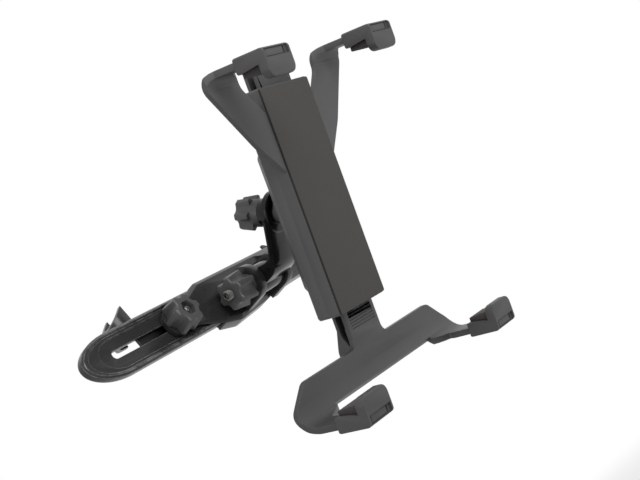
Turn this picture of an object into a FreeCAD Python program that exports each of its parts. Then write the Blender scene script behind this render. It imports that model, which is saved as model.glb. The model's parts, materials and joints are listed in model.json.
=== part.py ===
import FreeCAD, Part
import math
import os

# A holder that carries a tablet between the two posts of a car seat's headrest.
# A base and a slotted bar hook round the posts, an arm tilts on the base,
# and a cradle with four sliding claws turns on the head of the arm.
# Sizes are in millimetres and angles in degrees.

Vec = FreeCAD.Vector
Turn = FreeCAD.Rotation
Place = FreeCAD.Placement

# Clearances
run_gap = 0.3          # beside a face that slides or swings
seat_gap = 0.05        # between faces that are clamped together
bore_gap = 0.05        # round a shaft, on the radius
press_gap = 0.02       # round an insert or a nut, on the radius

# Pose in which the holder is drawn
tilt_at_rest = 39.0    # arm's head facing down from square to the posts
nod_at_rest = 13.0     # cradle tipped back up on its ball
turn_at_rest = 1.2     # cradle turned on its ball

# Post hooks
post_radius = 6.5
hook_wall = 3.2
hook_finger = 6.0      # straight run of each hook past the post's middle
hook_low = 6.6
hook_high = 28.0
hook_top_fall = 9.0    # the hook's top drops this much towards its closed side
hook_tip_round = 1.2
fixed_hook_x = 84.0
slide_hook_x = -109.5

# Slotted bar
bar_width = 30.6
bar_floor = 3.0
rim_height = 2.6
rim_width = 5.0        # outer edge to the floor
ledge_width = 2.0      # step inside the rim
ledge_height = 1.2
rim_bevel = 1.4
rim_slope = 0.8        # lean of the rim's inner wall
rim_tip = 6.0          # tip of the nose to the step
ledge_tip = 16.0       # tip of the nose to the floor
bar_tip_x = -168.5
bar_end_x = -14.0
nose_length = 33.0
slot_width = 5.4
slot_start_x = -138.5
slot_end_x = -42.0
slide_inward = 20.0    # travel of the bar towards the fixed hook

# Base
skirt_wall = 1.5
lip_thickness = 2.0
lip_width = 2.5
tongue_tip_x = -90.0
tongue_thickness = 3.45
tongue_corner = 8.0
fairing_start_x = -64.0
fairing_end_x = -43.0
fairing_round = 14.0
bulge_depth = 3.3
bulge_x = -27.0
bulge_end_x = 7.0
bulge_round = 12.0
waist_x = 27.0
waist_low = 13.4       # base below the bar's middle, past the ears
end_low = 11.0         # the same at the far end
deck_thickness = 2.65
block_height = 2.9
block_start_x = 26.0
base_end_x = 94.0
base_corner = 8.0
ramp_round = 6.0

# Tilt pivot
pivot_below_middle = 6.0
pivot_above_floor = 18.0
ear_radius = 11.8
ear_thickness = 6.2
barrel_radius = 10.0
barrel_length = 26.0

# Arm, drawn from its pivot with z along the axis of its head
arm_width = 26.0
arm_thickness = 3.9
arm_front = 20.7
arm_back_bend_y = 14.5
arm_front_bend_y = 7.0
arm_back_round = 9.0
arm_front_round = 13.0
foot_drop = 9.0        # underside of the foot below the pivot
head_height = 44.4
head_front = 21.7
head_radius = 14.0
head_thickness = 5.5
head_bevel = 1.0
hub_radius = 9.3
hub_thickness = 5.8

# Ball
ball_radius = 7.5
ball_depth = 1.2       # ball's middle behind the face of the arm's head
ball_stand_off = 6.1   # ball's middle behind the cradle's boss
ball_neck_radius = 5.0
ball_flange_radius = 8.0
ball_flange_thickness = 2.4

# Bolts, nuts and knobs
clamp_bolt_radius = 2.5
clamp_bolt_x = -78.0
clamp_head_radius = 5.5
clamp_head_height = 3.0
bolt_dome = 1.0
washer_thickness = 1.2
clamp_plate_left = 34.0
clamp_plate_right = 18.0
clamp_plate_height = 12.0
clamp_plate_thickness = 2.0
nut_flats = 8.0
nut_height = 4.0
axle_radius = 3.0
axle_head_flats = 10.0
axle_head_height = 4.0
tilt_bolt_stick_out = 5.0
socket_flats = 3.0
socket_depth = 2.5
swivel_screw_grip = 8.0
insert_radius = 4.5
insert_length = 9.0
lobe_count = 6
lobe_radius = 14.6     # corners of the star before they are rounded
valley_radius = 7.8
lobe_round = 1.6
valley_round = 4.0
knob_radius = 12.2
knob_face_radius = 10.8
knob_face_bevel = 0.8
clamp_knob_height = 12.6
clamp_recess_flats = 9.6
tilt_knob_length = 15.5
tilt_neck_length = 3.4
tilt_neck_radius = 8.0
swivel_knob_length = 11.5
swivel_neck_length = 5.8

# Cradle housing
pad_width = 57.4
pad_length = 150.0
pad_thickness = 1.6
pad_corner = 1.4
pad_edge_round = 0.6
housing_border = 0.5   # housing past the pad on each side
front_wall = 2.4
front_shell_depth = 8.4
back_wall = 3.6
back_edge_bevel = 1.6
platform_width = 55.0
platform_low_v = -61.0
platform_high_v = 42.0
platform_height = 5.5
platform_slope = 5.5
platform_corner = 9.0
swivel_v = -1.55
boss_radius = 11.5
boss_foot_radius = 13.0
boss_height = 9.0
shell_screw_v = 62.0
screw_radius = 1.3
screw_head_radius = 2.6
screw_head_height = 1.8
screw_pocket_depth = 3.0
screw_bite = 2.4

# Upper arms, measured from the middle of the pad
arm_plate = 3.4
arm_outer_bend = (49.5, 41.6)
arm_inner_bend_v = 78.4
arm_side_slope = 1.03
arm_inner_slope = 1.15
arm_shoulder_v = 80.0
upper_tongue_u = 64.3
upper_tongue_v = 89.3
upper_inner_u = 45.6
upper_outer_u = 79.8

# Tongues and claws
claw_tongue_width = 19.4
claw_tongue_thickness = 4.2
claw_tongue_gap = 0.25
tongue_tip_round = 1.5
claw_reach = 44.4      # front of the claw's lip, from the pad's face
claw_length = 22.4
claw_width = 28.6
claw_wall = 1.45
claw_inner_wall = 2.5  # wall towards the tablet, beside the lip
claw_back_drop = 1.8   # that wall thickens this much towards the back
lip_height = 18.4
claw_lip = 6.0
lip_corner = 6.0
claw_edge_round = 1.5
window_width = 25.4
window_rim = 1.0
window_depth = 1.5
grip_width = 22.0
grip_thickness = 5.6
grip_slope = 1.2
bend_inner_round = 6.0
bend_outer_round = 9.5
neck_drop = 5.0

# Lower bracket
stem_width = 37.0
stem_depth = 9.7
stem_top_v = 88.0
stem_front_plate = 2.8
stem_back_plate = 2.1
stem_web = 24.0
spring_room = 1.8
crossbar_top_v = -99.7
crossbar_half = 103.0
crossbar_shoulder_u = 83.0
crossbar_plate = 3.4
crossbar_lip_u = 66.0
crossbar_lip_turn = 44.0   # the crossbar's lower edge curves forward by this angle
crossbar_shoulder_drop = 16.0
stem_fillet = 6.0
lower_tongue_inset = 10.8
lower_tongue_v = -126.1
lower_bend_round = 13.0
lower_shoulder_rise = 5.0
kick_start_v = -86.0
kick_depth = 4.4
tooth_pitch = 2.0
tooth_depth = 0.6
tooth_width = 30.0
lowest_tooth_v = -88.0
tooth_count = 62

# Detent spring
spring_width = 10.0
spring_sheet = 0.5
spring_top_v = -20.0
spring_length = 44.0
spring_foot = 12.0
spring_nose = 5.0
stud_radius = 1.5
stud_height = 1.0

# Places that follow from the sizes above
bar_half = bar_width / 2
rim_top = rim_height
axle_bore = axle_radius + bore_gap
hook_outer = post_radius + hook_wall
hook_z = -bar_floor - hook_outer
hook_axis_high = hook_high - hook_top_fall * hook_finger / (hook_finger + hook_outer)
hook_middle = (hook_low + hook_axis_high) / 2
channel_end_x = bar_end_x + slide_inward + run_gap
channel_top = rim_top + run_gap
deck_top = channel_top + deck_thickness
block_top = deck_top + block_height
lip_top = -bar_floor - run_gap
base_bottom = lip_top - lip_thickness
base_half = bar_half + run_gap + skirt_wall
tongue_half = bar_half - rim_width - 2 * run_gap
tongue_top = run_gap + tongue_thickness
ear_inner = barrel_length / 2 + run_gap
ear_outer = ear_inner + ear_thickness
front_face = -pad_thickness
seam = front_face - front_shell_depth
channel_roof = front_face - front_wall
stem_front = channel_roof - spring_room
stem_back = stem_front - stem_depth
channel_floor = stem_back - run_gap
channel_half = stem_width / 2 + run_gap
back_face = channel_floor - back_wall
platform_face = back_face - platform_height
boss_face = platform_face - boss_height
housing_half = pad_width / 2 + housing_border
housing_end = pad_length / 2 + housing_border
head_back = head_front - head_thickness
hub_back = head_back - hub_thickness
arm_back = arm_front - arm_thickness
ball_z = head_front - ball_depth
socket_radius = ball_radius + run_gap
claw_tongue_end = claw_reach - window_depth
lower_tongue_u = crossbar_half - lower_tongue_inset
claw_half_height = claw_tongue_thickness / 2 + claw_tongue_gap + claw_wall
claw_inner = -claw_tongue_thickness / 2 - claw_tongue_gap - claw_inner_wall
claw_back = claw_reach - claw_length
rail_middle = (housing_half + channel_half) / 2

# The bar's frame has x along the bar, y up the posts and z to the front;
# the part's own origin lies on the fixed post's axis, half way up the hook.
bar_place = Place(Vec(-fixed_hook_x, hook_z, -hook_middle), Turn(Vec(1, 0, 0), 90))
arm_place = bar_place.multiply(
    Place(Vec(0, -pivot_below_middle, pivot_above_floor), Turn(Vec(1, 0, 0), tilt_at_rest)))
ball_place = arm_place.multiply(
    Place(Vec(0, head_height, ball_z), Turn(Vec(1, 0, 0), -nod_at_rest)))
cradle_place = ball_place.multiply(Place(Vec(), Turn(Vec(0, 0, 1), -turn_at_rest))).multiply(
    Place(Vec(0, -swivel_v, ball_stand_off - boss_face), Turn()))


def outline(corners):
    """Closed wire in the xy plane through (x, y, radius) corners, each rounded to its radius."""
    points = [Vec(corner[0], corner[1], 0) for corner in corners]
    spans = []
    for index, here in enumerate(points):
        radius = corners[index][2] if len(corners[index]) > 2 else 0
        back = (points[index - 1] - here).normalize()
        ahead = (points[(index + 1) % len(points)] - here).normalize()
        if radius == 0:
            spans.append((here, None, here))
            continue
        half_angle = back.getAngle(ahead) / 2
        reach = radius / math.tan(half_angle)
        middle = (back + ahead).normalize()
        crown = here + middle * (radius / math.sin(half_angle) - radius)
        spans.append((here + back * reach, crown, here + ahead * reach))
    edges = []
    for index, (start, crown, end) in enumerate(spans):
        if crown:
            edges.append(Part.Arc(start, crown, end).toShape())
        following = spans[(index + 1) % len(spans)][0]
        if (following - end).Length > 1e-4:
            edges.append(Part.LineSegment(end, following).toShape())
    return Part.Wire(edges)


def extruded(wire, low, high):
    solid = Part.Face(wire).extrude(Vec(0, 0, high - low))
    solid.translate(Vec(0, 0, low))
    return solid


def prism(corners, low, high):
    """Solid with its outline in the xy plane, from z low to z high."""
    return extruded(outline(corners), low, high)


def across_x(corners, low, high):
    """Solid with its (y, z) profile carried from x low to x high."""
    solid = prism(corners, low, high)
    solid.rotate(Vec(), Vec(1, 1, 1), 120)
    return solid


def across_y(corners, low, high):
    """Solid with its (x, z) profile carried from y low to y high."""
    solid = prism(corners, -high, -low)
    solid.rotate(Vec(), Vec(1, 0, 0), 90)
    return solid


def rectangle(x_low, x_high, y_low, y_high, radius=0):
    return [(x_low, y_low, radius), (x_high, y_low, radius),
            (x_high, y_high, radius), (x_low, y_high, radius)]


def rod(radius, low, high, x=0, y=0):
    return Part.makeCylinder(radius, high - low, Vec(x, y, low))


def rod_x(radius, low, high, y, z):
    return Part.makeCylinder(radius, high - low, Vec(low, y, z), Vec(1, 0, 0))


def ring(outer, inner, low, high):
    return rod(outer, low, high).cut(rod(inner, low, high))


def hexagon(flats):
    corner = flats / math.sqrt(3)
    return [(corner * math.cos(math.radians(60 * turn)), corner * math.sin(math.radians(60 * turn)))
            for turn in range(6)]


def raised(wire, z):
    copy = wire.copy()
    copy.translate(Vec(0, 0, z))
    return copy


def ruled_loft(levels):
    """Solid through like wires, each given with its height."""
    return Part.makeLoft([raised(wire, z) for wire, z in levels], True, True)


def mirrored(shape):
    return shape.mirror(Vec(), Vec(1, 0, 0))


def edges_at(shape, z):
    return [edge for edge in shape.Edges
            if abs(edge.BoundBox.ZMin - z) < 1e-4 and abs(edge.BoundBox.ZMax - z) < 1e-4]


def hook():
    """Hook round a post on the y axis, open towards +x, with a slanted top."""
    profile = [
        (hook_finger, hook_outer),
        (-hook_outer, hook_outer, hook_outer),
        (-hook_outer, -hook_outer, hook_outer),
        (hook_finger, -hook_outer, hook_tip_round),
        (hook_finger, -post_radius, hook_tip_round),
        (-post_radius, -post_radius, post_radius),
        (-post_radius, post_radius, post_radius),
        (hook_finger, post_radius),
    ]
    side = [
        (-hook_outer, hook_low),
        (hook_finger, hook_low),
        (hook_finger, hook_high),
        (-hook_outer, hook_high - hook_top_fall),
    ]
    return across_y(profile, hook_low, hook_high).common(prism(side, -hook_outer, hook_outer))


def boat(inset, tip_inset):
    """Outline of the bar, half an ellipse at its nose, drawn in at its sides and at its tip."""
    half = bar_half - inset
    nose = nose_length - tip_inset
    middle_x = bar_tip_x + nose_length
    oval = Part.Ellipse(Vec(middle_x, 0, 0), nose, half)
    top = Vec(middle_x, half, 0)
    bottom = Vec(middle_x, -half, 0)
    end_top = Vec(bar_end_x, half, 0)
    end_bottom = Vec(bar_end_x, -half, 0)
    return Part.Wire([
        Part.ArcOfEllipse(oval, math.pi / 2, 3 * math.pi / 2).toShape(),
        Part.LineSegment(bottom, end_bottom).toShape(),
        Part.LineSegment(end_bottom, end_top).toShape(),
        Part.LineSegment(end_top, top).toShape(),
    ])


def slide_bar():
    bevel_start = rim_top - rim_bevel
    whole = boat(0, 0)
    body = extruded(whole, -bar_floor, bevel_start)
    body = body.fuse(ruled_loft([(whole, bevel_start), (boat(rim_bevel, rim_bevel), rim_top)]))
    rim = rim_width - ledge_width
    recess = ruled_loft([(boat(rim, rim_tip), ledge_height),
                         (boat(rim - rim_slope, rim_tip - rim_slope), rim_top)])
    recess = recess.fuse(extruded(boat(rim_width, ledge_tip), 0, ledge_height))
    half_slot = slot_width / 2
    slot = prism(rectangle(slot_start_x - half_slot, slot_end_x + half_slot, -half_slot, half_slot,
                           half_slot), -bar_floor, rim_top)
    claw = hook()
    claw.translate(Vec(slide_hook_x, 0, hook_z))
    return body.cut(recess).fuse(claw).cut(slot).removeSplitter()


def base_plan():
    """Outline of the base seen from the front: narrow tongue, wide saddle, narrower end."""
    return outline([
        (tongue_tip_x, -tongue_half, tongue_corner),
        (fairing_start_x, -tongue_half, fairing_round),
        (fairing_end_x, -base_half, base_corner),
        (bulge_x, -base_half - bulge_depth, bulge_round),
        (bulge_end_x, -base_half, bulge_round),
        (waist_x, -waist_low, fairing_round),
        (base_end_x, -end_low, base_corner),
        (base_end_x, base_half, base_corner),
        (fairing_end_x, base_half, base_corner),
        (fairing_start_x, tongue_half, fairing_round),
        (tongue_tip_x, tongue_half, tongue_corner),
    ])


def post_base():
    plan = base_plan()
    bevel = block_top - channel_top
    body = extruded(plan, base_bottom, channel_top)
    body = body.fuse(ruled_loft([(plan, channel_top), (plan.makeOffset2D(-bevel), block_top)]))
    side = [
        (tongue_tip_x, base_bottom),
        (base_end_x, base_bottom),
        (base_end_x, block_top),
        (block_start_x + block_height, block_top, ramp_round),
        (block_start_x, deck_top, ramp_round),
        (fairing_start_x + ramp_round, deck_top, ramp_round),
        (fairing_start_x - run_gap, tongue_top, ramp_round),
        (tongue_tip_x, tongue_top),
    ]
    reach = base_half + bulge_depth
    body = body.common(across_y(side, -reach, reach))
    room = bar_half + run_gap
    channel = prism(rectangle(tongue_tip_x, channel_end_x, -room, room), lip_top, channel_top)
    mouth = bar_half - lip_width
    below = prism(rectangle(tongue_tip_x, channel_end_x, -mouth, mouth), base_bottom, lip_top)
    clear_of_hook = prism(rectangle(tongue_tip_x, fairing_end_x, -reach, reach), base_bottom, channel_top)
    body = body.cut(channel).cut(below).cut(clear_of_hook)
    tongue = extruded(plan, run_gap, tongue_top).common(
        prism(rectangle(tongue_tip_x, fairing_end_x, -tongue_half, tongue_half), run_gap, tongue_top))
    body = body.fuse(tongue)
    middle = -pivot_below_middle
    ear_foot = ear_radius + bulge_depth
    ear = [
        (middle - ear_radius - run_gap, channel_top),
        (middle - ear_radius, pivot_above_floor + ear_radius, ear_radius - press_gap),
        (middle + ear_radius, pivot_above_floor + ear_radius, ear_radius - press_gap),
        (middle + ear_foot, channel_top),
    ]
    body = body.fuse(across_x(ear, ear_inner, ear_outer))
    body = body.fuse(across_x(ear, -ear_outer, -ear_inner))
    fixed_hook = mirrored(hook())
    fixed_hook.translate(Vec(fixed_hook_x, 0, hook_z))
    body = body.fuse(fixed_hook)
    body = body.cut(rod(clamp_bolt_radius + bore_gap, 0, block_top, clamp_bolt_x))
    body = body.cut(rod_x(axle_bore, -ear_outer, ear_outer, middle, pivot_above_floor))
    head_seat = prism(hexagon(axle_head_flats + 2 * bore_gap), 0, ear_thickness / 2)
    head_seat.rotate(Vec(), Vec(0, 1, 0), 90)
    head_seat.translate(Vec(ear_outer - ear_thickness / 2, middle, pivot_above_floor))
    return body.cut(head_seat).removeSplitter()


def clamp_bolt():
    """Round-headed bolt from behind the bar, its domed end inside the knob's recess."""
    head_top = lip_top - clamp_plate_thickness
    end = tongue_top + clamp_knob_height - knob_face_bevel
    shank = rod(clamp_bolt_radius, head_top, end)
    shank = shank.makeChamfer(bolt_dome, edges_at(shank, end))
    head = rod(clamp_head_radius, head_top - clamp_head_height, head_top)
    head = head.makeChamfer(clamp_head_height / 2, edges_at(head, head_top - clamp_head_height))
    bolt = shank.fuse(head).removeSplitter()
    bolt.translate(Vec(clamp_bolt_x, 0, 0))
    return bolt


def clamp_plate():
    """Long plate under the bolt's head, behind the slot."""
    half = clamp_plate_height / 2
    plate = prism(rectangle(clamp_bolt_x - clamp_plate_left, clamp_bolt_x + clamp_plate_right, -half, half,
                            half / 2), lip_top - clamp_plate_thickness, lip_top)
    return plate.cut(rod(clamp_bolt_radius + bore_gap, lip_top - clamp_plate_thickness, lip_top, clamp_bolt_x))


def star():
    """Wavy outline of a hand knob."""
    corners = []
    for lobe in range(lobe_count):
        for step, radius, rounding in ((0, lobe_radius, lobe_round), (0.5, valley_radius, valley_round)):
            angle = 2 * math.pi * (lobe + step) / lobe_count
            corners.append((radius * math.cos(angle), radius * math.sin(angle), rounding))
    return outline(corners)


def knob(length, neck_length, neck_radius):
    """Star knob standing on z = 0, neck first, its lobes leaning in to a smaller face."""
    face = neck_length + length
    body = extruded(star(), neck_length, face)
    body = body.common(Part.makeCone(knob_radius, knob_face_radius, length, Vec(0, 0, neck_length)))
    body = body.makeChamfer(knob_face_bevel, edges_at(body, face))
    if neck_length:
        body = body.fuse(rod(neck_radius, 0, neck_length))
    return body


def threaded_knob(length, neck_length, neck_radius):
    """Knob with a bore for the axle and a pocket round its insert."""
    face = neck_length + length
    pocket_start = (face - insert_length) / 2
    body = knob(length, neck_length, neck_radius).cut(rod(axle_bore, 0, face))
    return body.cut(rod(insert_radius + press_gap, pocket_start, pocket_start + insert_length))


def insert(length, neck_length):
    start = (neck_length + length - insert_length) / 2
    return ring(insert_radius, axle_bore, start, start + insert_length)


clamp_knob_seat = tongue_top + seat_gap
clamp_nut_foot = clamp_knob_seat + clamp_knob_height / 2 - nut_height / 2


def clamp_knob():
    body = knob(clamp_knob_height, 0, 0)
    body.translate(Vec(0, 0, clamp_knob_seat))
    face = clamp_knob_seat + clamp_knob_height
    body = body.cut(rod(clamp_bolt_radius + bore_gap, clamp_knob_seat, face))
    body = body.cut(prism(hexagon(nut_flats + 2 * press_gap), clamp_nut_foot, clamp_nut_foot + nut_height))
    body = body.cut(prism(hexagon(clamp_recess_flats), clamp_nut_foot + nut_height, face))
    body.translate(Vec(clamp_bolt_x, 0, 0))
    return body


def clamp_nut():
    nut = prism(hexagon(nut_flats), clamp_nut_foot, clamp_nut_foot + nut_height)
    nut = nut.cut(rod(clamp_bolt_radius + bore_gap, clamp_nut_foot, clamp_nut_foot + nut_height))
    nut.translate(Vec(clamp_bolt_x, 0, 0))
    return nut


# The tilt knob and its washer are drawn along z and then turned to point along -x.
tilt_place = Place(Vec(-ear_outer - seat_gap, -pivot_below_middle, pivot_above_floor),
                   Turn(Vec(0, 1, 0), -90))
tilt_knob_foot = washer_thickness + seat_gap
tilt_knob_face = tilt_knob_foot + tilt_neck_length + tilt_knob_length


def turned_to_tilt(shape):
    shape.Placement = tilt_place.multiply(shape.Placement)
    return shape


def tilt_bolt():
    """Hexagon bolt through both ears; its hollow end stands out of the knob."""
    end = tilt_knob_face + tilt_bolt_stick_out
    head_seat = -2 * ear_outer - seat_gap + ear_thickness / 2
    shank = rod(axle_radius, head_seat, end)
    head = prism(hexagon(axle_head_flats), head_seat - axle_head_height, head_seat)
    socket = prism(hexagon(socket_flats), end - socket_depth, end)
    return turned_to_tilt(shank.fuse(head).cut(socket).removeSplitter())


def tilt_washer():
    return turned_to_tilt(ring(tilt_neck_radius, axle_bore, 0, washer_thickness))


def tilt_knob():
    body = threaded_knob(tilt_knob_length, tilt_neck_length, tilt_neck_radius)
    body.translate(Vec(0, 0, tilt_knob_foot))
    return turned_to_tilt(body)


def tilt_insert():
    body = insert(tilt_knob_length, tilt_neck_length)
    body.translate(Vec(0, 0, tilt_knob_foot))
    return turned_to_tilt(body)


def swing_arm():
    """Barrel, foot that curves forward, upright plate, and a round head with the ball's socket."""
    top = head_height + hub_radius / 2
    profile = [
        (top, arm_front),
        (arm_front_bend_y, arm_front, arm_front_round),
        (-foot_drop, run_gap),
        (-foot_drop, 0),
        (barrel_radius * 3 / 4, 0),
        (arm_back_bend_y, arm_back, arm_back_round),
        (top, arm_back),
    ]
    upright = across_x(profile, -arm_width / 2, arm_width / 2)
    barrel = rod_x(barrel_radius, -barrel_length / 2, barrel_length / 2, 0, 0)
    head = rod(head_radius, head_back, head_front, 0, head_height)
    head = head.makeChamfer(head_bevel, edges_at(head, head_back) + edges_at(head, head_front))
    hub = rod(hub_radius, hub_back, head_back, 0, head_height)
    body = upright.fuse([barrel, head, hub])
    body = body.cut(Part.makeSphere(socket_radius, Vec(0, head_height, ball_z)))
    body = body.cut(rod_x(axle_bore, -barrel_length / 2, barrel_length / 2, 0, 0))
    return body.cut(rod(axle_bore, hub_back, ball_z, 0, head_height)).removeSplitter()


def behind_head(shape):
    """Turn a piece drawn along z to point backwards from the hub of the arm's head."""
    place = Place(Vec(0, head_height, hub_back - seat_gap), Turn(Vec(1, 0, 0), 180))
    shape.Placement = place.multiply(shape.Placement)
    return shape


def swivel_knob():
    body = knob(swivel_knob_length, swivel_neck_length, hub_radius)
    return behind_head(body.cut(rod(axle_radius + press_gap, 0, swivel_screw_grip)))


def swivel_screw():
    """Screw moulded into its knob; the tip bears on the back of the ball."""
    tip = hub_back - seat_gap - (ball_z - ball_radius - run_gap)
    return behind_head(rod(axle_radius, tip, swivel_screw_grip - press_gap))


def ball_stud():
    """Ball with a neck and a flange that is held inside the cradle's back."""
    inside = ball_stand_off - boss_face + channel_floor
    flange_back = inside - ball_flange_thickness
    neck = rod(ball_neck_radius, 0, flange_back)
    flange = rod(ball_flange_radius, flange_back, inside)
    return Part.makeSphere(ball_radius).fuse([neck, flange]).removeSplitter()


def housing_plan():
    return rectangle(-housing_half, housing_half, -housing_end, housing_end, pad_corner + housing_border)


def foam_pad():
    half = pad_width / 2
    end = pad_length / 2
    pad = prism(rectangle(-half, half, -end, end, pad_corner), front_face, 0)
    return pad.makeFillet(pad_edge_round, edges_at(pad, 0))


def screw_places():
    return [(side * rail_middle, end * shell_screw_v) for side in (-1, 1) for end in (-1, 1)]


def rear_shell():
    body = prism(housing_plan(), back_face, seam)
    body = body.makeChamfer(back_edge_bevel, edges_at(body, back_face))
    half = platform_width / 2
    foot = outline(rectangle(-half, half, platform_low_v, platform_high_v, platform_corner))
    platform = ruled_loft([(foot, back_face + back_wall / 2), (foot, back_face),
                           (foot.makeOffset2D(-platform_slope), platform_face)])
    boss = Part.makeCone(boss_radius, boss_foot_radius, platform_face - boss_face, Vec(0, swivel_v, boss_face))
    body = body.fuse([platform, boss])
    body = body.cut(prism(rectangle(-channel_half, channel_half, -housing_end, housing_end),
                          channel_floor, seam))
    body = body.cut(rod(ball_neck_radius + bore_gap, boss_face, channel_floor, 0, swivel_v))
    flange_room = channel_floor - ball_flange_thickness - seat_gap
    body = body.cut(rod(ball_flange_radius + bore_gap, flange_room, channel_floor, 0, swivel_v))
    for u, v in screw_places():
        seat = back_face + screw_pocket_depth
        body = body.cut(rod(screw_head_radius + run_gap, back_face, seat, u, v))
        body = body.cut(rod(screw_radius + bore_gap, seat, seam, u, v))
    return body.removeSplitter()


def shell_screws():
    seat = back_face + screw_pocket_depth
    screws = []
    for u, v in screw_places():
        head = rod(screw_head_radius, seat - screw_head_height, seat, u, v)
        head = head.makeChamfer(screw_head_height / 2, edges_at(head, seat - screw_head_height))
        screws.append(head.fuse(rod(screw_radius, seat, seam + screw_bite, u, v)).removeSplitter())
    return Part.makeCompound(screws)


def tongue_plan(middle, shoulders, shoulder_w, back, inner, outer):
    """Outline in (u, w) that narrows a bent plate from its two shoulders to its claw tongue."""
    half = claw_tongue_width / 2
    neck = shoulder_w + neck_drop
    return [
        (inner, back),
        (outer, back),
        (outer, shoulder_w),
        (shoulders[1], shoulder_w),
        (middle + half, neck, tongue_tip_round),
        (middle + half, claw_tongue_end, tongue_tip_round),
        (middle - half, claw_tongue_end, tongue_tip_round),
        (middle - half, neck, tongue_tip_round),
        (shoulders[0], shoulder_w),
        (inner, shoulder_w),
    ]


def upper_arm():
    """Right arm of the front shell: a plate that runs up and out and bends forward into a tongue."""
    tip = upper_tongue_v + claw_tongue_thickness / 2
    under = upper_tongue_v - claw_tongue_thickness / 2
    inner = upper_inner_u
    outer = upper_outer_u
    bend_u, bend_v = arm_outer_bend
    root = channel_half
    plan = [
        (root, bend_v - arm_side_slope * (bend_u - root)),
        (bend_u, bend_v, bend_v),
        (outer - bend_inner_round / 4, arm_shoulder_v, bend_outer_round),
        (outer, tip),
        (inner, tip),
        (inner, arm_inner_bend_v, bend_outer_round),
        (root, arm_inner_bend_v - arm_inner_slope * (inner - root)),
    ]
    back = front_face - arm_plate
    bend = [
        (0, front_face),
        (under, front_face, bend_inner_round),
        (under, claw_tongue_end),
        (tip, claw_tongue_end),
        (tip, back, bend_outer_round),
        (0, back),
    ]
    arm = across_x(bend, root, outer)
    arm = arm.common(prism(plan, back, claw_tongue_end))
    narrow = tongue_plan(upper_tongue_u, (inner, outer), front_face, back, root, outer + run_gap)
    return arm.common(across_y(narrow, 0, tip))


def front_shell():
    body = prism(housing_plan(), seam, front_face)
    body = body.cut(prism(rectangle(-channel_half, channel_half, -housing_end, housing_end),
                          seam, channel_roof))
    arm = upper_arm()
    body = body.fuse([arm, mirrored(arm)])
    stud = rod(stud_radius, channel_roof - stud_height, channel_roof, 0, spring_top_v - spring_foot / 2)
    body = body.fuse(stud)
    for u, v in screw_places():
        body = body.cut(rod(screw_radius + press_gap, seam, seam + screw_bite, u, v))
    return body.removeSplitter()


def detent_spring():
    """Leaf spring held by a stud; its nose rides just over the crests of the stem's teeth."""
    low_v = spring_top_v - spring_length
    nose_v = low_v + spring_nose
    leaf_top = channel_roof - press_gap
    nose_tip = stem_front + run_gap
    leaf = [
        (spring_top_v, leaf_top),
        (spring_top_v, leaf_top - spring_sheet),
        (spring_top_v - spring_foot, leaf_top - spring_sheet),
        (nose_v, nose_tip, spring_sheet),
        (low_v, leaf_top - 2 * spring_sheet),
        (low_v, leaf_top - spring_sheet),
        (nose_v, nose_tip + spring_sheet, spring_sheet),
        (spring_top_v - spring_foot, leaf_top),
    ]
    body = across_x(leaf, -spring_width / 2, spring_width / 2)
    hole = rod(stud_radius + bore_gap, stem_front, channel_roof, 0, spring_top_v - spring_foot / 2)
    return body.cut(hole)


def teeth():
    """Row of grooves across the stem's front."""
    groove = across_x([(-tooth_depth, stem_front), (0, stem_front - tooth_depth), (tooth_depth, stem_front)],
                      -tooth_width / 2, tooth_width / 2)
    row = []
    for index in range(tooth_count):
        cut = groove.copy()
        cut.translate(Vec(0, lowest_tooth_v + index * tooth_pitch, 0))
        row.append(cut)
    return Part.makeCompound(row)


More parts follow.
